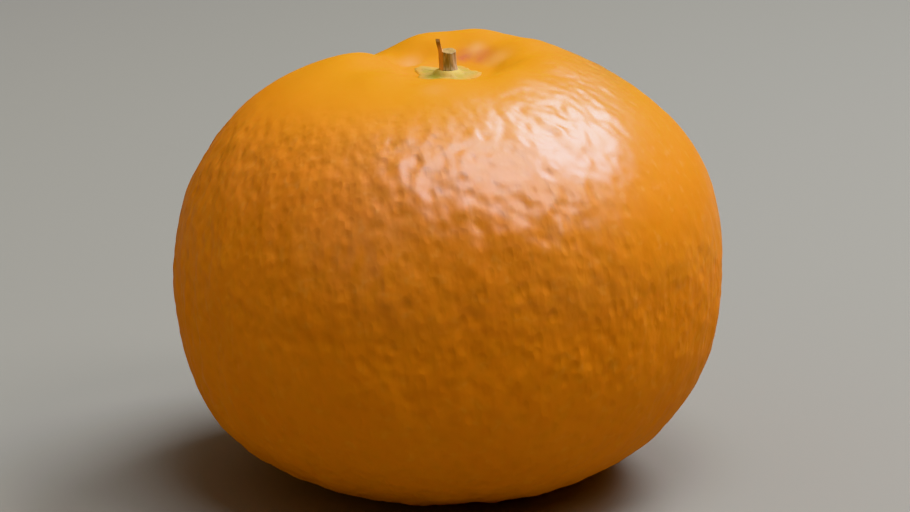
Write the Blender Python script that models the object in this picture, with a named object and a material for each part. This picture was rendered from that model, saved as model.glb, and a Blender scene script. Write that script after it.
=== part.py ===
"""A mandarin as picked, with its calyx and a short cut stalk, standing on its blossom end.

Metres, +Z up. The origin is in the middle of the fruit's footprint, on the surface it stands on,
and -Y is the side that faces the viewer. The peel's relief is larger than life: each pit here
stands for several of the real peel's oil glands.
"""

import random
from math import atan2, ceil, cos, exp, hypot, pi, radians, sin

import bmesh
import bpy
from mathutils import Vector
from mathutils.noise import noise

# The fruit's body: two half superellipses turned round its core, which meet at the belly
HALF_WIDTH = 0.0337
CROWN_HEIGHT = 0.0268
BASE_DEPTH = 0.0281
CROWN_POWER = 2.11
BASE_POWER = 2.58
LOBES = ((1, 0.008, radians(4)), (3, 0.008, radians(118)))
BELLY_TILT = 0.0775
CORE_LEAN = -0.053
CORE_AT = (-0.0006, 0.0)

# The stalk end: a hollow in a low collar, tallest at the back, with a fold at the back left
STEM_AT = (0.0018, 0.0)
HOLLOW_DEPTH = 0.0043
HOLLOW_RADIUS = 0.0083
COLLAR_RADIUS = 0.0125
COLLAR_WIDTH = 0.0084
COLLAR_HEIGHT = -0.0005
COLLAR_TALL = 0.0016
COLLAR_TALL_AT = radians(68)
CROWN_FADE = 0.4  # where all this is at full height, as the sine of the angle over the belly
FOLD_AT = radians(135)
FOLD_SPREAD = radians(27)
FOLD_RADIUS = 0.0135
FOLD_LENGTH = 0.0110
FOLD_DEPTH = 0.0024

# Low ribs that fan out from the stalk end
RIBS = 9
RIB_HEIGHT = 0.00018
RIB_RADIUS = 0.0115
RIB_LENGTH = 0.0060

# The seat under the calyx: smooth out to its edge, and dished up a little towards the crown's high side
SEAT_RADIUS = 0.0048
SEAT_EDGE = 0.0072
SEAT_RISE = 0.00075
SEAT_RISE_AT = radians(80)
SEAT_RISE_RADIUS = 0.0045

# The blossom end: a dimple inside the flat ring that the fruit stands on
STAND_INNER = 0.0074
STAND_OUTER = 0.0104
STAND_EASE = 0.0020
DIMPLE_DEPTH = 0.0012
DIMPLE_RADIUS = 0.0065

# The peel's relief: the distance between pits, how far they sink and how far the net stands up
PIT_SPACING = 0.0032
NECK_SPACING = 0.0018
NECK_START = 0.0090
NECK_END = 0.0220
PIT_DEPTH = 0.00018
NET_HEIGHT = 0.00012
SCATTER = 0.22
ROW_SHARE = 0.87
FIRST_ROW = 0.12
RING_TURN = 0.4
SWELL_SIZE = 0.0090
SWELL_HEIGHT = 0.00018
SEED = 26

# The calyx: a thin green star with a raised boss, whose socket holds the stalk's foot
GAP = 0.0003
CALYX_TIP = 0.0045
CALYX_NOTCH = 0.0035
CALYX_LOBES = 5
CALYX_UNEVEN = ((2, 0.06, -0.6), (3, 0.03, 1.0))
CALYX_TURN = radians(-72)
LOBE_TOP = 0.00082
LOBE_RIM = 0.00070
BOSS_RADIUS = 0.0020
BOSS_FOOT = 0.0026
BOSS_TOP = 0.00125
SOCKET_RADIUS = 0.00135
SOCKET_FLOOR = 0.00075
CALYX_SIDES = 40

# The stalk: a cut stub, and the strip of bark that tore up beside it
STALK_RADIUS = 0.00088
STALK_FLARE = 0.00014
STALK_HEIGHT = 0.0028
STALK_SIDES = 14
BARK_RIDGE = 0.00004
CUT_SLOPE = 0.20
STRIP_START = 0.00062
STRIP_LEAN = 0.0008
STRIP_HEIGHT = 0.0041
STRIP_THICKNESS = 0.0006
STRIP_WIDTH = 0.0009

PEEL_COLOUR = (0.72, 0.235, 0.022, 1.0)
PEEL_ROUGHNESS = 0.42
CALYX_COLOUR = (0.42, 0.40, 0.085, 1.0)
CALYX_ROUGHNESS = 0.6
STALK_COLOUR = (0.22, 0.13, 0.045, 1.0)
STALK_ROUGHNESS = 0.75


def clear_scene():
    for obj in list(bpy.data.objects):
        bpy.data.objects.remove(obj, do_unlink=True)


def material(name, colour, roughness):
    made = bpy.data.materials.new(name)
    made.use_nodes = True
    shader = made.node_tree.nodes["Principled BSDF"]
    shader.inputs["Base Color"].default_value = colour
    shader.inputs["Roughness"].default_value = roughness
    shader.inputs["Metallic"].default_value = 0.0
    return made


def place(name, bm, colour, roughness):
    """One closed body as a named object, shaded smooth."""
    bmesh.ops.recalc_face_normals(bm, faces=bm.faces)
    mesh = bpy.data.meshes.new(name)
    bm.to_mesh(mesh)
    bm.free()
    mesh.shade_smooth()
    mesh.materials.append(material(name, colour, roughness))
    obj = bpy.data.objects.new(name, mesh)
    bpy.context.scene.collection.objects.link(obj)
    return obj


def bell(x, width):
    return exp(-((x / width) ** 2))


def ease(x, start, end):
    """0 before start, 1 after end, smooth between."""
    t = min(max((x - start) / (end - start), 0.0), 1.0)
    return t * t * (3 - 2 * t)


def turn_from(angle, middle):
    """How far an angle is from another, the short way round."""
    return (angle - middle + pi) % (2 * pi) - pi


def body_reach(across, along):
    """How far the plain body reaches in a direction, given by its parts across and along the core."""
    height = CROWN_HEIGHT if along > 0 else BASE_DEPTH
    power = CROWN_POWER if along > 0 else BASE_POWER
    return ((across / HALF_WIDTH) ** power + (abs(along) / height) ** power) ** (-1 / power)


def crown_height(rho):
    return CROWN_HEIGHT * (1 - (rho / HALF_WIDTH) ** CROWN_POWER) ** (1 / CROWN_POWER)


def base_height(rho):
    return -BASE_DEPTH * (1 - (rho / HALF_WIDTH) ** BASE_POWER) ** (1 / BASE_POWER)


def crown_relief(x, y):
    """What the collar, the fold, the ribs and the hollow add to the crown's height over a place."""
    away = hypot(x - STEM_AT[0], y - STEM_AT[1])
    angle = atan2(y - STEM_AT[1], x - STEM_AT[0])
    tall = COLLAR_TALL * (0.5 + 0.5 * cos(angle - COLLAR_TALL_AT))
    height = (COLLAR_HEIGHT + tall) * bell(away - COLLAR_RADIUS, COLLAR_WIDTH)
    fold = bell(turn_from(angle, FOLD_AT), FOLD_SPREAD) * bell(away - FOLD_RADIUS, FOLD_LENGTH)
    height -= FOLD_DEPTH * fold
    rib = cos(RIBS * (angle + pi / 2)) * bell(away - RIB_RADIUS, RIB_LENGTH)
    height += RIB_HEIGHT * rib * ease(away, SEAT_EDGE, RIB_RADIUS)
    return height - HOLLOW_DEPTH * exp(-((away / HOLLOW_RADIUS) ** 3))


SEAT_HEIGHT = crown_height(STEM_AT[0]) + crown_relief(*STEM_AT)
STAND_HEIGHT = base_height((STAND_INNER + STAND_OUTER) / 2)


def seat_rise(away, angle):
    """How far the seat climbs towards the crown's high side, this far from the stalk's axis."""
    return SEAT_RISE * (0.5 + 0.5 * cos(angle - SEAT_RISE_AT)) * (away / SEAT_RISE_RADIUS) ** 2


def settle(x, y, z):
    """Tilts the belly, leans the core, and sets the fruit down with its stand on the surface."""
    rho = hypot(x, y)
    z += BELLY_TILT * x * rho**2 / (rho**2 + z**2)
    above = z - STAND_HEIGHT
    if z < 0:
        inside = ease(rho, STAND_INNER - STAND_EASE, STAND_INNER)
        above *= 1 - inside * (1 - ease(rho, STAND_OUTER, STAND_OUTER + STAND_EASE))
    return Vector((x + CORE_LEAN * z + CORE_AT[0], y + CORE_AT[1], max(above, 0.0)))


def peel_point(direction):
    """The smooth peel's point in this direction from the middle of the belly."""
    across = hypot(direction.x, direction.y)
    angle = atan2(direction.y, direction.x)
    reach = body_reach(across, direction.z)
    swell = 1 + across**2 * sum(size * cos(count * (angle - at)) for count, size, at in LOBES)
    x = reach * across * swell * cos(angle)
    y = reach * across * swell * sin(angle)
    z = reach * direction.z
    if z > 0:
        z += crown_relief(x, y) * ease(direction.z, 0.0, CROWN_FADE)
        away = hypot(x - STEM_AT[0], y - STEM_AT[1])
        seat = SEAT_HEIGHT + seat_rise(away, atan2(y - STEM_AT[1], x - STEM_AT[0]))
        z += (seat - z) * (1 - ease(away, SEAT_RADIUS, SEAT_EDGE))
    else:
        z += DIMPLE_DEPTH * bell(hypot(x, y), DIMPLE_RADIUS)
    return settle(x, y, z)


def on_seat(away, angle, lift):
    """A point this far from the stalk's axis and this high over the calyx's seat."""
    x = STEM_AT[0] + away * cos(angle)
    y = STEM_AT[1] + away * sin(angle)
    return settle(x, y, SEAT_HEIGHT + seat_rise(away, angle) + lift)


def even_rings(radii, middle, height_at, spacing):
    """Directions to even rings of places round a middle on the crown or on the base."""
    found = []
    for turn, radius in enumerate(radii):
        count = max(1, ceil(2 * pi * radius / spacing))
        for i in range(count):
            angle = 2 * pi * i / count + RING_TURN * turn
            x = middle[0] + radius * cos(angle)
            y = middle[1] + radius * sin(angle)
            found.append(Vector((x, y, height_at(hypot(x, y)))).normalized())
    return found


def pit_spacing(rho, polar):
    """How far apart the pits are in a row this far from the core: closer round the stalk."""
    if polar > pi / 2:
        return PIT_SPACING
    away = abs(rho - STEM_AT[0])
    return NECK_SPACING + (PIT_SPACING - NECK_SPACING) * ease(away, NECK_START, NECK_END)


def scattered_rows():
    """Directions to scattered places in rows round the fruit, between its two ends."""
    draw = random.Random(SEED)
    found = []
    polar = FIRST_ROW
    while polar < pi:
        reach = body_reach(sin(polar), cos(polar))
        rho = reach * sin(polar)
        spacing = pit_spacing(rho, polar)
        count = round(2 * pi * rho / spacing)
        step = ROW_SHARE * spacing / reach
        start = draw.uniform(0, 2 * pi)
        for i in range(count):
            angle = start + 2 * pi * (i + SCATTER * draw.uniform(-1, 1)) / count
            slope = polar + SCATTER * step * draw.uniform(-1, 1)
            x = reach * sin(slope) * cos(angle)
            y = reach * sin(slope) * sin(angle)
            if slope < pi / 2:
                clear = hypot(x - STEM_AT[0], y - STEM_AT[1]) > SEAT_EDGE + 0.5 * NECK_SPACING
            else:
                clear = rho > STAND_OUTER + 0.6 * PIT_SPACING
            if clear:
                found.append(Vector((x, y, reach * cos(slope))).normalized())
        polar += step
    return found


def netted_sphere(directions):
    """A ball with a corner in each direction and a ring of net corners round each of them."""
    bm = bmesh.new()
    for direction in directions:
        bm.verts.new(direction)
    bmesh.ops.convex_hull(bm, input=bm.verts)
    pits = set(bm.verts)
    spokes = list(bm.edges)
    bmesh.ops.poke(bm, faces=bm.faces)
    bmesh.ops.rotate_edges(bm, edges=spokes)
    return bm, pits


def relief_share(point):
    """How much of the relief a place on the fruit has: none on the seat and on the stand."""
    middle = on_seat(0.0, 0.0, 0.0)
    away = hypot(point.x - middle.x, point.y - middle.y)
    if point.z > middle.z / 2:
        return ease(away, SEAT_EDGE, NECK_END)
    rho = hypot(point.x - CORE_AT[0] - CORE_LEAN * STAND_HEIGHT, point.y - CORE_AT[1])
    return ease(rho, STAND_OUTER, STAND_OUTER + 2 * PIT_SPACING)


def make_fruit():
    """The whole fruit as one solid: its outside is the peel, pitted between a low net of ridges."""
    seat_rings = [0.0, 0.36 * SEAT_RADIUS, 0.7 * SEAT_RADIUS, SEAT_RADIUS]
    seat_rings += [SEAT_RADIUS + share * (SEAT_EDGE - SEAT_RADIUS) for share in (0.33, 0.67, 1.0)]
    stand_rings = (0.0, 0.34 * STAND_INNER, 0.68 * STAND_INNER, STAND_INNER, STAND_OUTER)
    directions = even_rings(seat_rings, STEM_AT, crown_height, NECK_SPACING)
    directions += even_rings(stand_rings, (0.0, 0.0), base_height, 0.8 * PIT_SPACING)
    directions += scattered_rows()
    bm, pits = netted_sphere(directions)
    for vert in bm.verts:
        vert.co = peel_point(vert.co.normalized())
    bm.normal_update()
    for vert in bm.verts:
        height = -PIT_DEPTH if vert in pits else NET_HEIGHT
        height += SWELL_HEIGHT * noise(vert.co / SWELL_SIZE)
        vert.co += vert.normal * height * relief_share(vert.co)
        vert.co.z = max(vert.co.z, 0.0)
    return place("fruit", bm, PEEL_COLOUR, PEEL_ROUGHNESS)


def loft(rings):
    """A closed body through rings of points, from its foot to its top, with a corner in each end."""
    bm = bmesh.new()
    rows = []
    for ring in rings:
        rows.append([bm.verts.new(point) for point in ring])
    for low, high in zip(rows, rows[1:]):
        for i in range(len(low)):
            j = (i + 1) % len(low)
            bm.faces.new((low[i], low[j], high[j], high[i]))
    for ends in (rows[0], rows[-1]):
        bm.faces.new(ends)
    return bm


def calyx_radius(angle):
    """The star's outline: five blunt lobes of unlike length."""
    lobe = 0.5 + 0.5 * cos(CALYX_LOBES * (angle - CALYX_TURN))
    uneven = 1 + sum(size * cos(count * angle - at) for count, size, at in CALYX_UNEVEN)
    return (CALYX_NOTCH + (CALYX_TIP - CALYX_NOTCH) * lobe**0.7) * uneven


def make_calyx():
    """The green star that held the stalk to the fruit, with the boss in its middle."""
    profile = (
        (0.0, SOCKET_RADIUS * 0.9, GAP),
        (0.55, 0.0, GAP),
        (0.96, 0.0, GAP),
        (1.0, 0.0, GAP + 0.5 * (LOBE_RIM - GAP)),
        (0.97, 0.0, LOBE_RIM),
        (0.8, 0.0, LOBE_TOP),
        (0.0, BOSS_FOOT, LOBE_TOP),
        (0.0, BOSS_RADIUS, 0.85 * BOSS_TOP),
        (0.0, 0.5 * (BOSS_RADIUS + SOCKET_RADIUS), BOSS_TOP),
        (0.0, SOCKET_RADIUS, 0.95 * BOSS_TOP),
        (0.0, 0.96 * SOCKET_RADIUS, SOCKET_FLOOR),
    )
    angles = [2 * pi * i / CALYX_SIDES for i in range(CALYX_SIDES)]
    rings = [
        [on_seat(share * calyx_radius(angle) + radius, angle, lift) for angle in angles]
        for share, radius, lift in profile
    ]
    return place("calyx", loft(rings), CALYX_COLOUR, CALYX_ROUGHNESS)


def stub_rings(foot):
    """Rings up the stub: a flared foot, a waist, and a cut that slopes down towards the viewer."""
    profile = ((1.0, 0.0), (0.6, 0.15), (0.2, 0.4), (0.0, 0.75), (0.1, 0.97), (-2.0, 1.0))
    rings = []
    for flare, share in profile:
        ring = []
        for i in range(STALK_SIDES):
            angle = 2 * pi * i / STALK_SIDES
            away = STALK_RADIUS + flare * STALK_FLARE + BARK_RIDGE * cos(5 * angle + 1)
            cut = CUT_SLOPE * away * sin(angle) * share
            ring.append(on_seat(away, angle, foot + share * STALK_HEIGHT + cut))
        rings.append(ring)
    return rings


def strip_rings(foot):
    """Rings up the torn strip: it leaves the stub's left side low down and leans away from it."""
    rings = []
    for share in (0.06, 0.35, 0.65, 0.9, 1.0):
        middle = STRIP_START + STRIP_LEAN * share**1.5
        half_thickness = 0.5 * STRIP_THICKNESS * (1 - 0.3 * share)
        half_width = 0.5 * STRIP_WIDTH * (1 - 0.5 * share**2)
        ring = []
        for dx, dy in ((-1, -0.6), (-1, 0.6), (0, 1), (1, 0.6), (1, -0.6), (0, -1)):
            x = dx * half_thickness - middle
            y = dy * half_width
            ring.append(on_seat(hypot(x, y), atan2(y, x), foot + share * STRIP_HEIGHT))
        rings.append(ring)
    return rings


def make_stalk():
    """The cut end of the stalk, with a strip of bark torn up on its left."""
    foot = SOCKET_FLOOR + GAP
    stalk = place("stalk", loft(stub_rings(foot)), STALK_COLOUR, STALK_ROUGHNESS)
    strip = place("strip_guide", loft(strip_rings(foot)), STALK_COLOUR, STALK_ROUGHNESS)
    strip.hide_render = True
    strip.display_type = "WIRE"
    joined = stalk.modifiers.new("strip", "BOOLEAN")
    joined.operation = "UNION"
    joined.solver = "EXACT"
    joined.object = strip
    return stalk


clear_scene()
make_fruit()
make_calyx()
make_stalk()
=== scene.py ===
from math import cos, pi, radians, sin

import bpy
import numpy as np
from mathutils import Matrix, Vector, kdtree
from mathutils.noise import noise


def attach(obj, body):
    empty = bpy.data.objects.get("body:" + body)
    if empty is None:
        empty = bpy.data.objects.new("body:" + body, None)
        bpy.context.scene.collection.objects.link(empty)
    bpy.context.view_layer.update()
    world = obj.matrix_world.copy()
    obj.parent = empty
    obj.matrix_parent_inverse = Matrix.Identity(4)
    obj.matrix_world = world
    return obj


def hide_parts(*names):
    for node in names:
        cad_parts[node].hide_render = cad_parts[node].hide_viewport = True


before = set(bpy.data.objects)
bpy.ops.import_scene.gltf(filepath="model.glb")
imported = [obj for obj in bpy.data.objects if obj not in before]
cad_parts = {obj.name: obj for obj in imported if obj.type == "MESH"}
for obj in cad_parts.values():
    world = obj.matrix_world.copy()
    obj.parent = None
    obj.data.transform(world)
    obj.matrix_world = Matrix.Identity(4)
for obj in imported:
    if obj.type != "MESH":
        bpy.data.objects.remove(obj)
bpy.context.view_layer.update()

scene = bpy.context.scene

# The camera: a long lens a little above the fruit, as in the photograph. It aims at the belly, and a
# little to the right of the fruit's middle, which the photograph has left of its own.
camera_height = radians(15)
camera_distance = 0.373
camera_aim = Vector((0.0008, 0.0, 0.02785))
camera_data = bpy.data.cameras.new("camera")
camera_data.lens = 120
camera_data.sensor_width = 36
camera_data.clip_start = 0.01
camera_data.clip_end = 20
camera = bpy.data.objects.new("camera", camera_data)
scene.collection.objects.link(camera)
away = Vector((0.0, -cos(camera_height), sin(camera_height)))
camera.location = camera_aim + camera_distance * away
camera.rotation_euler = (radians(90) - camera_height, 0.0, 0.0)
scene.camera = camera


# The peel: the fruit's whole outside, one grown skin of waxy rind. A cube's even grid is pushed out to
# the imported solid's shape, from the same sizes, and the solid's coarse net of pits gives way here to the
# real peel's fine oil glands.
HALF_WIDTH = 0.0337
CROWN_HEIGHT = 0.0268
BASE_DEPTH = 0.0281
CROWN_POWER = 2.11
BASE_POWER = 2.58
LOBES = ((1, 0.008, radians(4)), (3, 0.008, radians(118)))
BELLY_TILT = 0.0775
CORE_LEAN = -0.053
CORE_AT = (-0.0006, 0.0)
STEM_AT = (0.0018, 0.0)
HOLLOW_DEPTH = 0.0043
HOLLOW_RADIUS = 0.0083
COLLAR_RADIUS = 0.0125
COLLAR_WIDTH = 0.0084
COLLAR_HEIGHT = -0.0005
COLLAR_TALL = 0.0016
COLLAR_TALL_AT = radians(68)
CROWN_FADE = 0.4  # where all this is at full height, as the sine of the angle over the belly
FOLD_AT = radians(135)
FOLD_SPREAD = radians(27)
FOLD_RADIUS = 0.0135
FOLD_LENGTH = 0.0110
FOLD_DEPTH = 0.0024
RIBS = 9
RIB_HEIGHT = 0.00018
RIB_RADIUS = 0.0115
RIB_LENGTH = 0.0060
SEAT_RADIUS = 0.0048
SEAT_EDGE = 0.0072
SEAT_RISE = 0.00075
SEAT_RISE_AT = radians(80)
SEAT_RISE_RADIUS = 0.0045
STAND_INNER = 0.0074
STAND_OUTER = 0.0104
STAND_EASE = 0.0020
DIMPLE_DEPTH = 0.0012
DIMPLE_RADIUS = 0.0065


def bell(x, width):
    """1 at 0, and next to nothing from twice the width on."""
    return np.exp(-((x / width) ** 2))


def ease(x, start, end):
    """0 before start, 1 after end, smooth between."""
    t = np.clip((x - start) / (end - start), 0.0, 1.0)
    return t * t * (3 - 2 * t)


def crown_height(rho):
    return CROWN_HEIGHT * (1 - (rho / HALF_WIDTH) ** CROWN_POWER) ** (1 / CROWN_POWER)


def base_height(rho):
    return -BASE_DEPTH * (1 - (rho / HALF_WIDTH) ** BASE_POWER) ** (1 / BASE_POWER)


def from_stem(x, y):
    """How far a place is from the stalk's axis, and on which side."""
    return np.hypot(x - STEM_AT[0], y - STEM_AT[1]), np.arctan2(y - STEM_AT[1], x - STEM_AT[0])


def crown_relief(x, y):
    """What the collar, the fold, the ribs and the hollow add to the crown's height over a place."""
    distance, angle = from_stem(x, y)
    tall = COLLAR_TALL * (0.5 + 0.5 * np.cos(angle - COLLAR_TALL_AT))
    height = (COLLAR_HEIGHT + tall) * bell(distance - COLLAR_RADIUS, COLLAR_WIDTH)
    turn = (angle - FOLD_AT + pi) % (2 * pi) - pi
    height = height - FOLD_DEPTH * bell(turn, FOLD_SPREAD) * bell(distance - FOLD_RADIUS, FOLD_LENGTH)
    rib = np.cos(RIBS * (angle + pi / 2)) * bell(distance - RIB_RADIUS, RIB_LENGTH)
    height = height + RIB_HEIGHT * rib * ease(distance, SEAT_EDGE, RIB_RADIUS)
    return height - HOLLOW_DEPTH * np.exp(-((distance / HOLLOW_RADIUS) ** 3))


SEAT_HEIGHT = crown_height(STEM_AT[0]) + crown_relief(*STEM_AT)
STAND_HEIGHT = base_height((STAND_INNER + STAND_OUTER) / 2)


def seat_rise(distance, angle):
    """How far the calyx's seat climbs towards the crown's high side, where it is a little dished."""
    return SEAT_RISE * (0.5 + 0.5 * np.cos(angle - SEAT_RISE_AT)) * (distance / SEAT_RISE_RADIUS) ** 2


def settle(x, y, z):
    """Tilts the belly, leans the core, and sets the fruit down with its stand on the surface."""
    rho = np.hypot(x, y)
    z = z + BELLY_TILT * x * rho**2 / (rho**2 + z**2)
    inside = ease(rho, STAND_INNER - STAND_EASE, STAND_INNER)
    level = inside * (1 - ease(rho, STAND_OUTER, STAND_OUTER + STAND_EASE)) * (z < 0)
    above = np.maximum((z - STAND_HEIGHT) * (1 - level), 0.0)
    return np.stack([x + CORE_LEAN * z + CORE_AT[0], y + CORE_AT[1], above], -1)


def peel_points(directions):
    """The smooth peel's points in these directions, and their places from the core before the lean."""
    dx, dy, dz = directions.T
    across = np.hypot(dx, dy)
    heading = np.arctan2(dy, dx)
    height = np.where(dz > 0, CROWN_HEIGHT, BASE_DEPTH)
    power = np.where(dz > 0, CROWN_POWER, BASE_POWER)
    reach = ((across / HALF_WIDTH) ** power + (np.abs(dz) / height) ** power) ** (-1 / power)
    swell = 1 + across**2 * sum(size * np.cos(count * (heading - at)) for count, size, at in LOBES)
    x = reach * across * swell * np.cos(heading)
    y = reach * across * swell * np.sin(heading)
    z = reach * dz
    crown = z + crown_relief(x, y) * ease(dz, 0.0, CROWN_FADE)
    distance, angle = from_stem(x, y)
    seat = SEAT_HEIGHT + seat_rise(distance, angle)
    crown = crown + (seat - crown) * (1 - ease(distance, SEAT_RADIUS, SEAT_EDGE))
    base = z + DIMPLE_DEPTH * bell(np.hypot(x, y), DIMPLE_RADIUS)
    z = np.where(dz > 0, crown, base)
    return settle(x, y, z), np.stack([x, y, z], -1)


def read_corners(mesh, what):
    """The mesh's corners, as rows of their coordinates ("co") or of their normals ("normal")."""
    found = np.empty(len(mesh.vertices) * 3)
    mesh.vertices.foreach_get(what, found)
    return found.reshape(-1, 3)


def move_to(mesh, places):
    mesh.vertices.foreach_set("co", places.astype(np.float32).ravel())
    mesh.update()


def share_of(mesh, name, values):
    """Keeps one number for each vertex, which the material reads."""
    layer = mesh.attributes.new(name, "FLOAT", "POINT")
    layer.data.foreach_set("value", np.asarray(values, np.float32))


def subdivide(cuts):
    """Cuts each face of the piece just added into a grid."""
    bpy.ops.object.mode_set(mode="EDIT")
    bpy.ops.mesh.select_all(action="SELECT")
    bpy.ops.mesh.subdivide(number_cuts=cuts)
    bpy.ops.object.mode_set(mode="OBJECT")


CROWN_FINER = 0.22  # how far the grid is drawn towards the crown, whose relief is the finest
bpy.ops.object.select_all(action="DESELECT")
bpy.ops.mesh.primitive_cube_add(size=2)
peel = bpy.context.object
peel.name = "peel"
subdivide(127)
even = np.tan(read_corners(peel.data, "co") * pi / 4)
even = even / np.linalg.norm(even, axis=1)[:, None]
polar_angle = np.arccos(np.clip(even[:, 2], -1, 1))
polar_angle = polar_angle - CROWN_FINER * np.sin(polar_angle)
heading = even[:, :2] / np.maximum(np.hypot(even[:, 0], even[:, 1]), 1e-9)[:, None]
directions = np.column_stack([heading * np.sin(polar_angle)[:, None], np.cos(polar_angle)])
smooth, place = peel_points(directions)
on_crown = place[:, 2] > 0
move_to(peel.data, smooth)
outward = read_corners(peel.data, "normal")

# The oil glands: points scattered over the peel, about as far apart as the real ones, each of which
# sinks a soft pit of its own width and depth into it.
GLANDS = 4800
GLAND_SCATTER = 0.35 * 2 / np.sqrt(GLANDS)
GOLDEN_TURN = pi * (3 - 5**0.5)
GLAND_WIDTHS = (0.00040, 0.00070)
draw = np.random.default_rng(26)
row = np.arange(GLANDS) + 0.5
polar = np.arccos(1 - 2 * row / GLANDS) + GLAND_SCATTER * draw.normal(0, 1, GLANDS)
turn = GOLDEN_TURN * row + GLAND_SCATTER * draw.normal(0, 1, GLANDS) / np.sin(polar)
gland_directions = np.stack(
    [np.sin(polar) * np.cos(turn), np.sin(polar) * np.sin(turn), np.cos(polar)], -1
)
glands, _ = peel_points(gland_directions)
gland_width = draw.uniform(*GLAND_WIDTHS, GLANDS)
gland_depth = draw.uniform(0.2, 1.0, GLANDS) ** 1.3
tree = kdtree.KDTree(GLANDS)
for i, gland in enumerate(glands):
    tree.insert(gland, i)
tree.balance()
pit = np.zeros(len(smooth))
for i, point in enumerate(smooth):
    for _, j, distance in tree.find_n(point, 3):
        pit[i] = max(pit[i], gland_depth[j] * np.exp(-((distance / gland_width[j]) ** 2)))


def lumps(points, size):
    """Soft noise in lumps of this size."""
    return np.array([noise(Vector(point)) for point in points / size])


# The skin's flanks grew drawn out from stalk to base, so its grain is measured at full size round the
# fruit and at a smaller one up and down.
GRAIN_STRETCH = np.array([1.0, 1.0, 0.60])
STREAK_STRETCH = np.array([1.0, 1.0, 0.34])
grain_at = HALF_WIDTH * directions * GRAIN_STRETCH
streak_at = HALF_WIDTH * directions * STREAK_STRETCH


def spots(marks):
    """Soft round marks on the crown: distance from the stalk, side in degrees, size and strength."""
    x = place[:, 0] - STEM_AT[0]
    y = place[:, 1] - STEM_AT[1]
    total = np.zeros(len(place))
    for out, turned, size, strength in marks:
        across = x - out * cos(radians(turned))
        along = y - out * sin(radians(turned))
        total = np.maximum(total, strength * bell(np.hypot(across, along), size) * on_crown)
    return total


def crown_share(middle_x, start, end):
    """1 round a middle on the crown, out to start, and 0 from end on, measured from the core."""
    out = np.hypot(place[:, 0] - middle_x, place[:, 1])
    return np.where(on_crown, 1 - ease(out, start, end), 0.0)


# Where the peel differs: a smooth, matt neck that reaches farther on the left, a golden crown, a calm
# right shoulder, and the roughest skin round the belly. The seat and the stand are almost smooth.
BELLY = 0.028
distance, side = from_stem(place[:, 0], place[:, 1])
rho = np.hypot(place[:, 0], place[:, 1])
neck = crown_share(STEM_AT[0], 0.013, 0.024)
matt = crown_share(STEM_AT[0] - 0.006, 0.0158, 0.0255)
golden = crown_share(0.006, 0.016, 0.034)
seated = crown_share(STEM_AT[0], 0.0045, 0.0075)
stand = np.where(on_crown, 0.0, 1 - ease(rho, STAND_OUTER, STAND_OUTER + 0.004))
calm = ease(smooth[:, 0], 0.012, 0.024) * (0.28 + 0.42 * ease(smooth[:, 2], BELLY, BELLY + 0.010))
girdle = bell(smooth[:, 2] - BELLY, 0.010)
rough = (1 - 0.92 * matt) * (1 - calm) * (0.95 + 0.36 * girdle)

# The relief: wide swells, waves and lumps of three sizes, the glands' pits, a groove under the collar's
# near lip, and wrinkles that run down into the hollow.
SWELL_SIZE = 0.0090
SWELL_HEIGHT = 0.00018
WAVE_SIZE = 0.0034
WAVE_HEIGHT = 0.00019
LUMP_SIZE = 0.0017
LUMP_HEIGHT = 0.00015
GRAIN_SIZE = 0.0010
GRAIN_HEIGHT = 0.00010
GLAND_DEPTH = 0.00013
LIP_RADIUS = 0.0092
LIP_WIDTH = 0.0032
LIP_DEPTH = 0.0004
WRINKLES_ROUND = 4.0
WRINKLE_LENGTH = 0.004
WRINKLE_HEIGHT = 0.00012
waves = WAVE_HEIGHT * lumps(streak_at + 0.7, WAVE_SIZE)
waves += LUMP_HEIGHT * lumps(streak_at + 0.3, LUMP_SIZE)
waves += GRAIN_HEIGHT * lumps(grain_at + 0.5, GRAIN_SIZE)
relief = SWELL_HEIGHT * lumps(smooth, SWELL_SIZE) + (waves - GLAND_DEPTH * pit) * rough
near_side = (1 + np.cos(side + pi / 2)) / 2
relief -= LIP_DEPTH * near_side**2 * bell(distance - LIP_RADIUS, LIP_WIDTH) * on_crown
round_stem = [WRINKLES_ROUND * np.cos(side), WRINKLES_ROUND * np.sin(side), distance / WRINKLE_LENGTH]
wrinkled = neck * (1 - seated) * (1 - ease(distance, 0.008, 0.018))
relief += WRINKLE_HEIGHT * lumps(np.stack(round_stem, -1), 1.0) * wrinkled
relief *= (1 - stand) * (1 - 0.7 * seated)
peel_co = smooth + outward * relief[:, None]
peel_co[:, 2] = np.maximum(peel_co[:, 2], 0.0)
move_to(peel.data, peel_co)
peel.data.shade_smooth()
layer = peel.data.attributes.new("grain_at", "FLOAT_VECTOR", "POINT")
layer.data.foreach_set("vector", grain_at.astype(np.float32).ravel())
share_of(peel.data, "pit", pit)
share_of(peel.data, "matt", matt)
share_of(peel.data, "rough", rough)
share_of(peel.data, "golden", golden)

# The wax that gives the peel its sheen: on the upper half, and worn thin at both sides.
worn_left = 1 - ease(smooth[:, 0], -0.020, -0.005)
worn_right = ease(smooth[:, 0], 0.0175, 0.0245)
unworn = 1 - 0.65 * np.maximum(worn_left, worn_right)
waxed = ease(smooth[:, 2], 0.0235, 0.0395) * (1 - 0.9 * matt) * unworn
share_of(peel.data, "waxed", waxed)

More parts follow.
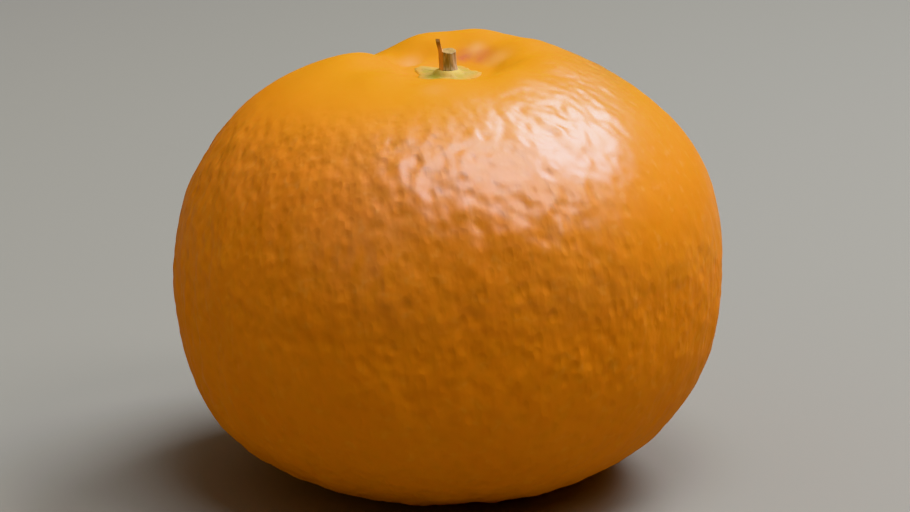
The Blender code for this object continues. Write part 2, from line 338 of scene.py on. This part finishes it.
# Painted shade: two reddish spots behind the stalk and to its right, where the hollow's shade falls.
# Painted highlights: four pale spots near the stalk, painted light on the crown and on the hollow's
# right wall. And the scar that the blossom left below.
near_shade = (0.0060, 70, 0.0011, 0.90)
far_shade = (0.0064, 50, 0.0014, 0.70)
share_of(peel.data, "hollow_shade", spots((near_shade, far_shade)))
# Painted highlights: pale spots for light on the crown, and painted light on the hollow's right wall.
left_highlight = (0.0072, 129, 0.0014, 0.34)
back_highlight = (0.0074, 62, 0.0011, 0.48)
front_highlight = (0.0150, -96, 0.0016, 0.16)
wall_light = (0.0068, 28, 0.0016, 0.30)
share_of(peel.data, "painted_light", spots((left_highlight, back_highlight, front_highlight, wall_light)))
SCAR_RADIUS = 0.0022
share_of(peel.data, "blossom", np.where(on_crown, 0.0, bell(rho, SCAR_RADIUS)))


class Value:
    """A shader socket that adds a Math node when it is used in a sum, a difference or a product."""

    def __init__(self, tree, socket):
        self.tree = tree
        self.socket = socket

    def with_math(self, operation, *values):
        return self.tree.add("ShaderNodeMath", {"operation": operation}, dict(enumerate(values)))

    def __add__(self, other):
        return self.with_math("ADD", self, other)

    def __sub__(self, other):
        return self.with_math("SUBTRACT", self, other)

    def __rsub__(self, other):
        return self.with_math("SUBTRACT", other, self)

    def __mul__(self, other):
        return self.with_math("MULTIPLY", self, other)

    __radd__ = __add__
    __rmul__ = __mul__


class Tree:
    """A shader's nodes, which are added as they are asked for."""

    def __init__(self, tree):
        self.nodes = tree.nodes
        self.links = tree.links

    def add(self, kind, settings, sockets, out=0):
        """A node of this kind. Its settings come first, then its sockets' values or links."""
        node = self.nodes.new(kind)
        for name, setting in settings.items():
            setattr(node, name, setting)
        for key, value in sockets.items():
            self.feed(node.inputs[key], value)
        return Value(self, node.outputs[out])

    def feed(self, socket, value):
        if isinstance(value, Value):
            self.links.new(value.socket, socket)
        else:
            socket.default_value = value


class Finish(Tree):
    """A material of one Principled shader."""

    def __init__(self, name):
        self.material = bpy.data.materials.new(name)
        self.material.use_nodes = True
        super().__init__(self.material.node_tree)
        self.shader = self.nodes["Principled BSDF"]

    def set(self, **named):
        for name, value in named.items():
            self.feed(self.shader.inputs[name.replace("_", " ")], value)

    def share(self, name):
        """The number that share_of kept on the mesh under this name."""
        return self.add("ShaderNodeAttribute", {"attribute_name": name}, {}, out="Fac")

    def noise(self, size, detail, at=None):
        """Noise from 0 to 1 in lumps of this size in metres."""
        at = at or self.add("ShaderNodeTexCoord", {}, {}, out="Object")
        sockets = {"Vector": at, "Scale": 1 / size, "Detail": detail, "Roughness": 0.5}
        return self.add("ShaderNodeTexNoise", {}, sockets)

    def pits(self, size, inner, outer, at):
        """1 in the middle of round pits this many metres apart, and 0 past their edges."""
        sockets = {"Vector": at, "Scale": 1 / size}
        from_middle = self.add("ShaderNodeTexVoronoi", {"feature": "F1"}, sockets)
        return 1 - self.between(from_middle, inner, outer)

    def between(self, value, low, high):
        """The value's share of the way from low to high, kept from 0 to 1."""
        sockets = {"Value": value, "From Min": low, "From Max": high, "To Min": 0.0, "To Max": 1.0}
        return self.add("ShaderNodeMapRange", {"clamp": True}, sockets)

    def mix(self, share, first, second):
        """The second colour over the first. A Mix node's colours are its sockets 6 and 7."""
        settings = {"data_type": "RGBA", "blend_type": "MIX", "clamp_factor": True}
        return self.add("ShaderNodeMix", settings, {0: share, 6: first, 7: second}, out=2)

    def bump(self, height, depth):
        """A normal from a height of 0 to 1 that stands this many metres up."""
        sockets = {"Height": height, "Distance": depth, "Strength": 1.0}
        return self.add("ShaderNodeBump", {}, sockets)


FLANK = (0.84, 0.252, 0.032, 1.0)
DEEP = (0.80, 0.226, 0.024, 1.0)
GOLD = (0.69, 0.272, 0.017, 1.0)
PIT = (0.62, 0.170, 0.010, 1.0)
# The next colour is painted shade for the hollow behind the calyx.
SHADE_RED = (0.56, 0.135, 0.070, 1.0)
# The next colour is painted highlight for the spots near the stalk.
HIGHLIGHT_PINK = (0.86, 0.450, 0.190, 1.0)
SCAR = (0.16, 0.075, 0.025, 1.0)
# The next colour is for painted glints.
GLINT_PINK = (0.90, 0.400, 0.110, 1.0)

waxy = Finish("waxy_peel")
patches = waxy.between(waxy.noise(0.011, 3), 0.35, 0.70)
colour = waxy.mix(patches, FLANK, DEEP)
colour = waxy.mix(waxy.share("golden") * 0.85, colour, GOLD)
colour = waxy.mix(waxy.between(waxy.noise(0.0022, 2), 0.45, 0.75) * 0.15, colour, GOLD)
colour = waxy.mix(waxy.share("pit") * waxy.share("rough") * 0.34, colour, PIT)
# Painted glints: pale pinkish specks over the rough, unmatt skin stand in for light glancing off bumps.
painted_glints = waxy.between(waxy.noise(0.0013, 1), 0.60, 0.74) * (1 - waxy.share("matt"))
colour = waxy.mix(painted_glints * 0.22, colour, GLINT_PINK)
# Painted shade: the hollow's shade behind the calyx, painted as darker reddish spots.
painted_hollow_shade = waxy.share("hollow_shade") * (0.6 + 0.4 * waxy.between(waxy.noise(0.0012, 2), 0.30, 0.60))
colour = waxy.mix(painted_hollow_shade, colour, SHADE_RED)
# Painted highlights: the pale spots near the stalk.
colour = waxy.mix(waxy.share("painted_light"), colour, HIGHLIGHT_PINK)
colour = waxy.mix(waxy.between(waxy.share("blossom"), 0.35, 0.9), colour, SCAR)
grain = waxy.add("ShaderNodeAttribute", {"attribute_name": "grain_at"}, {}, out="Vector")
small_pits = waxy.pits(0.00150, 0.10, 0.42, grain)
tiny_pits = waxy.pits(0.00080, 0.10, 0.45, grain)
skin = waxy.noise(0.00170, 1.5, grain) - 0.28 * small_pits - 0.05 * tiny_pits
skin = skin * waxy.share("rough") + 0.02 * waxy.noise(0.00045, 1)
waxy.set(
    Base_Color=colour,
    Roughness=0.50 + 0.14 * waxy.noise(0.0025, 1),
    Normal=waxy.bump(skin, 0.00032),
    Specular_IOR_Level=0.10,
    Coat_Weight=waxy.share("waxed"),
    Coat_Roughness=0.36,
    Coat_IOR=1.70,
)
waxy.set(Subsurface_Weight=0.12, Subsurface_Scale=0.0006, Subsurface_Radius=(1.0, 0.40, 0.10))
peel.data.materials.append(waxy.material)
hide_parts("fruit")
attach(peel, "root")


# The calyx: the flat green star of dry leaf ends that held the stalk to the fruit. It grew on the
# peel, has five blunt lobes of unlike length and a low woody boss round the stalk's foot. It is a ball
# pressed flat onto the seat, with its rim sunk a little into the peel.
CALYX_TIP = 0.0045
CALYX_NOTCH = 0.0035
CALYX_LOBES = 5
CALYX_TURN = radians(-72)
CALYX_UNEVEN = ((2, 0.06, -0.6), (3, 0.03, 1.0))
CALYX_RAGGED = 0.05
SHORT_LOBE = 0.14
SHORT_LOBE_SPREAD = 0.45
RIM_LIFT = 0.00012
LOBE_LIFT = 0.00048
RIM_START = 0.90
RIM_SUNK = 0.00012
UNDERSIDE = -0.00030
MIDRIB_HEIGHT = 0.00010
LEAF_RELIEF = 0.00008
LEAF_RELIEF_SIZE = 0.0007
BOSS_RADIUS = 0.0015
BOSS_LIFT = 0.00095
SOCKET_RADIUS = 0.00112
SOCKET_LIFT = 0.00072
DARK_AT = (-0.0017, -0.0019)
DARK_RADIUS = 0.0009
LEAF_STRAW = (0.53, 0.315, 0.075, 1)
LEAF_GREEN = (0.48, 0.320, 0.056, 1)
MIDRIB_STRAW = (0.50, 0.33, 0.10, 1)
BOSS_STRAW = (0.68, 0.47, 0.13, 1)
DARK_GREEN = (0.24, 0.215, 0.022, 1)
DRY_BROWN = (0.64, 0.28, 0.040, 1)


def on_seat(distance, angle, lift):
    """Places over the calyx's seat in the crown's hollow, by their distance from the stalk's axis."""
    x = STEM_AT[0] + distance * np.cos(angle)
    y = STEM_AT[1] + distance * np.sin(angle)
    return settle(x, y, SEAT_HEIGHT + seat_rise(distance, angle) + lift)


bpy.ops.object.select_all(action="DESELECT")
bpy.ops.mesh.primitive_uv_sphere_add(segments=160, ring_count=64, radius=1)
calyx = bpy.context.object
calyx.name = "calyx_star"
ball = read_corners(calyx.data, "co")
angle = np.arctan2(ball[:, 1], ball[:, 0])
down = np.arccos(np.clip(ball[:, 2], -1, 1)) / pi  # 0 at the top's middle, 1 at the underside's
lobe = 0.5 + 0.5 * np.cos(CALYX_LOBES * (angle - CALYX_TURN))
edge = CALYX_NOTCH + (CALYX_TIP - CALYX_NOTCH) * lobe**0.7
edge *= 1 + sum(size * np.cos(count * angle - at) for count, size, at in CALYX_UNEVEN)
edge *= 1 - SHORT_LOBE * bell(angle, SHORT_LOBE_SPREAD)
edge_place = np.stack([2.2 * np.cos(angle), 2.2 * np.sin(angle), 0 * angle], -1)
edge *= 1 + CALYX_RAGGED * lumps(edge_place, 1 / 3)
share = np.where(down < 0.5, (down / 0.5) ** 0.8, (1 - down) / 0.5)
distance = share * edge
boss = 1 - ease(distance, 0.75 * BOSS_RADIUS, 1.35 * BOSS_RADIUS)
socket = 1 - ease(distance, 0.75 * SOCKET_RADIUS, SOCKET_RADIUS)
lobe_lift = LOBE_LIFT + (RIM_LIFT - LOBE_LIFT) * share**2
midrib = bell(1 - lobe, 0.10) * (1 - share**3) * ease(distance, 0.0012, 0.0020)
leafy = lumps(on_seat(distance, angle, 0 * angle), LEAF_RELIEF_SIZE)
top = lobe_lift + (BOSS_LIFT - lobe_lift) * boss + (SOCKET_LIFT - BOSS_LIFT) * socket
top = top + MIDRIB_HEIGHT * midrib + LEAF_RELIEF * leafy * (1 - socket) * share
rim = np.maximum((share - RIM_START) / (1 - RIM_START), 0.0)
top = top - (top + RIM_SUNK) * rim**2
under = UNDERSIDE + (-RIM_SUNK - UNDERSIDE) * share
move_to(calyx.data, on_seat(distance, angle, np.where(down < 0.5, top, under)))
calyx.data.shade_smooth()
share_of(calyx.data, "rim", ease(share, 0.66, 1.0))
share_of(calyx.data, "boss", boss)
share_of(calyx.data, "midrib", midrib)
dark_x = distance * np.cos(angle) - DARK_AT[0]
dark_y = distance * np.sin(angle) - DARK_AT[1]
share_of(calyx.data, "dark", 0.7 * bell(np.hypot(dark_x, 0.6 * dark_y), DARK_RADIUS))

leaf = Finish("dry_leaf")
greens = leaf.mix(leaf.between(leaf.noise(0.0014, 3), 0.40, 0.62), LEAF_STRAW, LEAF_GREEN)
greens = leaf.mix(leaf.share("midrib") * 0.6, greens, MIDRIB_STRAW)
greens = leaf.mix(leaf.share("boss") * 0.8, greens, BOSS_STRAW)
greens = leaf.mix(leaf.share("dark"), greens, DARK_GREEN)
dry_rim = leaf.share("rim") * (0.5 + 0.5 * leaf.between(leaf.noise(0.0008, 2), 0.40, 0.65))
greens = leaf.mix(dry_rim, greens, DRY_BROWN)
leaf.set(Base_Color=greens, Roughness=0.72, Specular_IOR_Level=0.25)
leaf.set(Normal=leaf.bump(leaf.noise(0.0003, 3), 0.00006))
leaf.set(Subsurface_Weight=0.15, Subsurface_Scale=0.0006, Subsurface_Radius=(1.0, 0.8, 0.2))
calyx.data.materials.append(leaf.material)
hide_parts("calyx")
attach(calyx, "root")


# The stalk: the short woody stub left when the fruit was cut from the tree, with a strip of its bark
# torn up along the left side. It stands in the calyx's boss and is one piece with the strip: a rod and
# a slat are shaped, joined, remeshed into one skin and given their bark.
STALK_RADIUS = 0.00086
STALK_HEIGHT = 0.0025
STALK_FOOT = SOCKET_LIFT + 0.00002
STALK_ASIDE = 0.00022  # how far the stub stands right of the middle of its socket
CUT_SLOPE = 0.20
PITH_SUNK = 0.00010
STRIP_OUT = 0.00094
STRIP_LEAN = 0.00032
STRIP_HEIGHT = 0.0038
STRIP_THICKNESS = 0.00056
STRIP_WIDTH = 0.00095
STRIP_BOW = 0.25
STRIP_WAVE = 0.00012
TORN_END = 0.0003
BARK_GRAIN = np.array([0.00022, 0.00022, 0.0011])
BARK_HEIGHT = 0.00005
BARK_DARK = (0.31, 0.230, 0.110, 1)
BARK_LIGHT = (0.50, 0.37, 0.20, 1)
# The next colour is painted light for the stub's right side.
BARK_LIT = (0.62, 0.40, 0.24, 1)
TORN_WOOD = (0.66, 0.31, 0.11, 1)
TORN_TIP = (0.24, 0.095, 0.020, 1)
CUT_DARK = (0.40, 0.235, 0.075, 1)
CUT_LIGHT = (0.50, 0.295, 0.10, 1)

bpy.ops.object.select_all(action="DESELECT")
bpy.ops.mesh.primitive_cylinder_add(vertices=48, radius=1, depth=1, end_fill_type="TRIFAN")
stalk = bpy.context.object
stalk.name = "stalk_stub"
subdivide(7)
rod = read_corners(stalk.data, "co")
away_share = np.hypot(rod[:, 0], rod[:, 1])
angle = np.arctan2(rod[:, 1], rod[:, 0])
up = rod[:, 2] + 0.5
flare = 1 + 0.16 * np.exp(-((up / 0.22) ** 2)) - 0.05 * np.sin(pi * up)
ridges = 1 + 0.05 * np.cos(5 * angle + 1) + 0.03 * np.cos(9 * angle + 4 * up)
distance = away_share * STALK_RADIUS * flare * ridges
sunk_pith = PITH_SUNK * bell(away_share, 0.35) * (up > 0.99)
lift = STALK_FOOT + up * (STALK_HEIGHT + CUT_SLOPE * distance * np.sin(angle)) - sunk_pith
move_to(stalk.data, on_seat(distance, angle, lift))

bpy.ops.object.select_all(action="DESELECT")
bpy.ops.mesh.primitive_cube_add(size=1)
strip = bpy.context.object
subdivide(15)
slat = read_corners(strip.data, "co")
up = slat[:, 2] + 0.5
curl = STRIP_LEAN * ease(up, 0.15, 1.0) + 0.00008 * np.sin(7 * up)
half = STRIP_WIDTH * (1 - 0.45 * up**2)
x = slat[:, 0] * STRIP_THICKNESS * (1 - 0.20 * up) + STRIP_BOW * slat[:, 1] ** 2 * half
x = x - (STRIP_OUT + curl)
y = slat[:, 1] * half + STRIP_WAVE * np.sin(5 * up)
ragged_end = TORN_END * slat[:, 1] * (up > 0.99)
lift = STALK_FOOT + up * (STRIP_HEIGHT + ragged_end)
move_to(strip.data, on_seat(np.hypot(x, y), np.arctan2(y, x), lift))

bpy.ops.object.select_all(action="DESELECT")
strip.select_set(True)
stalk.select_set(True)
bpy.context.view_layer.objects.active = stalk
bpy.ops.object.join()
fuse = stalk.modifiers.new("fuse", "REMESH")
fuse.mode = "VOXEL"
fuse.voxel_size = 0.00005
bpy.ops.object.modifier_apply(modifier="fuse")
stalk_smooth = read_corners(stalk.data, "co")
stalk_out = read_corners(stalk.data, "normal")
bark = lumps(stalk_smooth, BARK_GRAIN)
upright = np.clip(stalk_out[:, 2], 0, 1)
stalk_co = stalk_smooth + stalk_out * (BARK_HEIGHT * bark * (1 - upright))[:, None]
stalk_co[:, 0] += STALK_ASIDE
move_to(stalk.data, stalk_co)
stalk.data.shade_smooth()
axis = on_seat(np.zeros(1), np.zeros(1), np.zeros(1))[0]
beside = stalk_smooth[:, 0] - axis[0]
share_of(stalk.data, "cut", ease(upright, 0.7, 0.9) * (np.abs(beside) < STALK_RADIUS))
share_of(stalk.data, "torn", ease(-beside, 0.00078, 0.00092))
# Painted light: the bark is paler towards the stub's right side, which faces the lights.
share_of(stalk.data, "lit_side", ease(beside, 0.00010, 0.00055))
tip = ease(stalk_smooth[:, 2] - axis[2], STRIP_HEIGHT - 0.0004, STRIP_HEIGHT + 0.0006)
share_of(stalk.data, "tip", tip)
share_of(stalk.data, "bark", 0.5 + bark)

woody = Finish("bark")
browns = woody.mix(woody.between(woody.share("bark"), 0.35, 0.75), BARK_DARK, BARK_LIGHT)
# Painted light on the stub's right side.
browns = woody.mix(woody.share("lit_side") * 0.7, browns, BARK_LIT)
browns = woody.mix(woody.share("torn"), browns, TORN_WOOD)
browns = woody.mix(woody.share("tip"), browns, TORN_TIP)
cut_wood = woody.mix(woody.between(woody.noise(0.00025, 3), 0.35, 0.65), CUT_DARK, CUT_LIGHT)
browns = woody.mix(woody.share("cut"), browns, cut_wood)
woody.set(Base_Color=browns, Roughness=0.8, Specular_IOR_Level=0.3)
woody.set(Normal=woody.bump(woody.noise(0.00012, 3), 0.00003))
stalk.data.materials.append(woody.material)
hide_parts("stalk")
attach(stalk, "root")


# The floor and the lights: a plain pale table and soft studio panels, none of it part of the fruit. The
# large panel overhead models the body, and the three keys make the sheen, two of them with daylight.
DAYLIGHT = (0.73, 0.85, 1.0)
bpy.ops.object.select_all(action="DESELECT")
bpy.ops.mesh.primitive_plane_add(size=1.8)
floor = bpy.context.object
floor.name = "floor"
plain = Finish("plain_floor")
plain.set(Base_Color=(0.31, 0.268, 0.214, 1.0), Roughness=0.9)
floor.data.materials.append(plain.material)


def soft_light(name, towards, away, width, depth, power, colour=(1.0, 1.0, 1.0)):
    """A soft panel that hangs in this direction from the fruit, this far away, and faces it."""
    data = bpy.data.lights.new(name, "AREA")
    data.shape = "RECTANGLE"
    data.size = width
    data.size_y = depth
    data.energy = power
    data.color = colour
    lamp = bpy.data.objects.new(name, data)
    scene.collection.objects.link(lamp)
    direction = Vector(towards).normalized()
    lamp.location = camera_aim + away * direction
    lamp.rotation_euler = direction.to_track_quat("Z", "Y").to_euler()


soft_light("overhead", (-0.40, 0.0, 1.0), 1.2, 2.8, 2.8, 9.1)
soft_light("key", (0.49, 0.30, 0.81), 0.9, 0.58, 0.31, 8.9, DAYLIGHT)
soft_light("key low", (0.60, -0.35, 0.72), 0.9, 0.26, 0.26, 1.6)
soft_light("key left", (0.14, -0.20, 0.97), 0.9, 0.44, 0.44, 4.3, DAYLIGHT)
soft_light("low side", (-0.80, -0.60, 0.10), 1.2, 1.0, 1.0, 1.1)

# The room: it is as pale as the floor where the camera looks past the floor's end, and hardly lights
# the fruit, which would wash out its shaded flanks.
ROOM_SEEN = 0.30
ROOM_LIGHT = 0.05
world = bpy.data.worlds.new("room")
world.use_nodes = True
room = Tree(world.node_tree)
seen = room.add("ShaderNodeLightPath", {}, {}, out="Is Camera Ray")
background = room.nodes["Background"]
room.feed(background.inputs["Color"], (1.0, 0.985, 0.94, 1.0))
room.feed(background.inputs["Strength"], ROOM_LIGHT + (ROOM_SEEN - ROOM_LIGHT) * seen)
scene.world = world
scene.view_settings.view_transform = "Khronos PBR Neutral"
scene.view_settings.look = "None"
scene.view_settings.exposure = 0.0
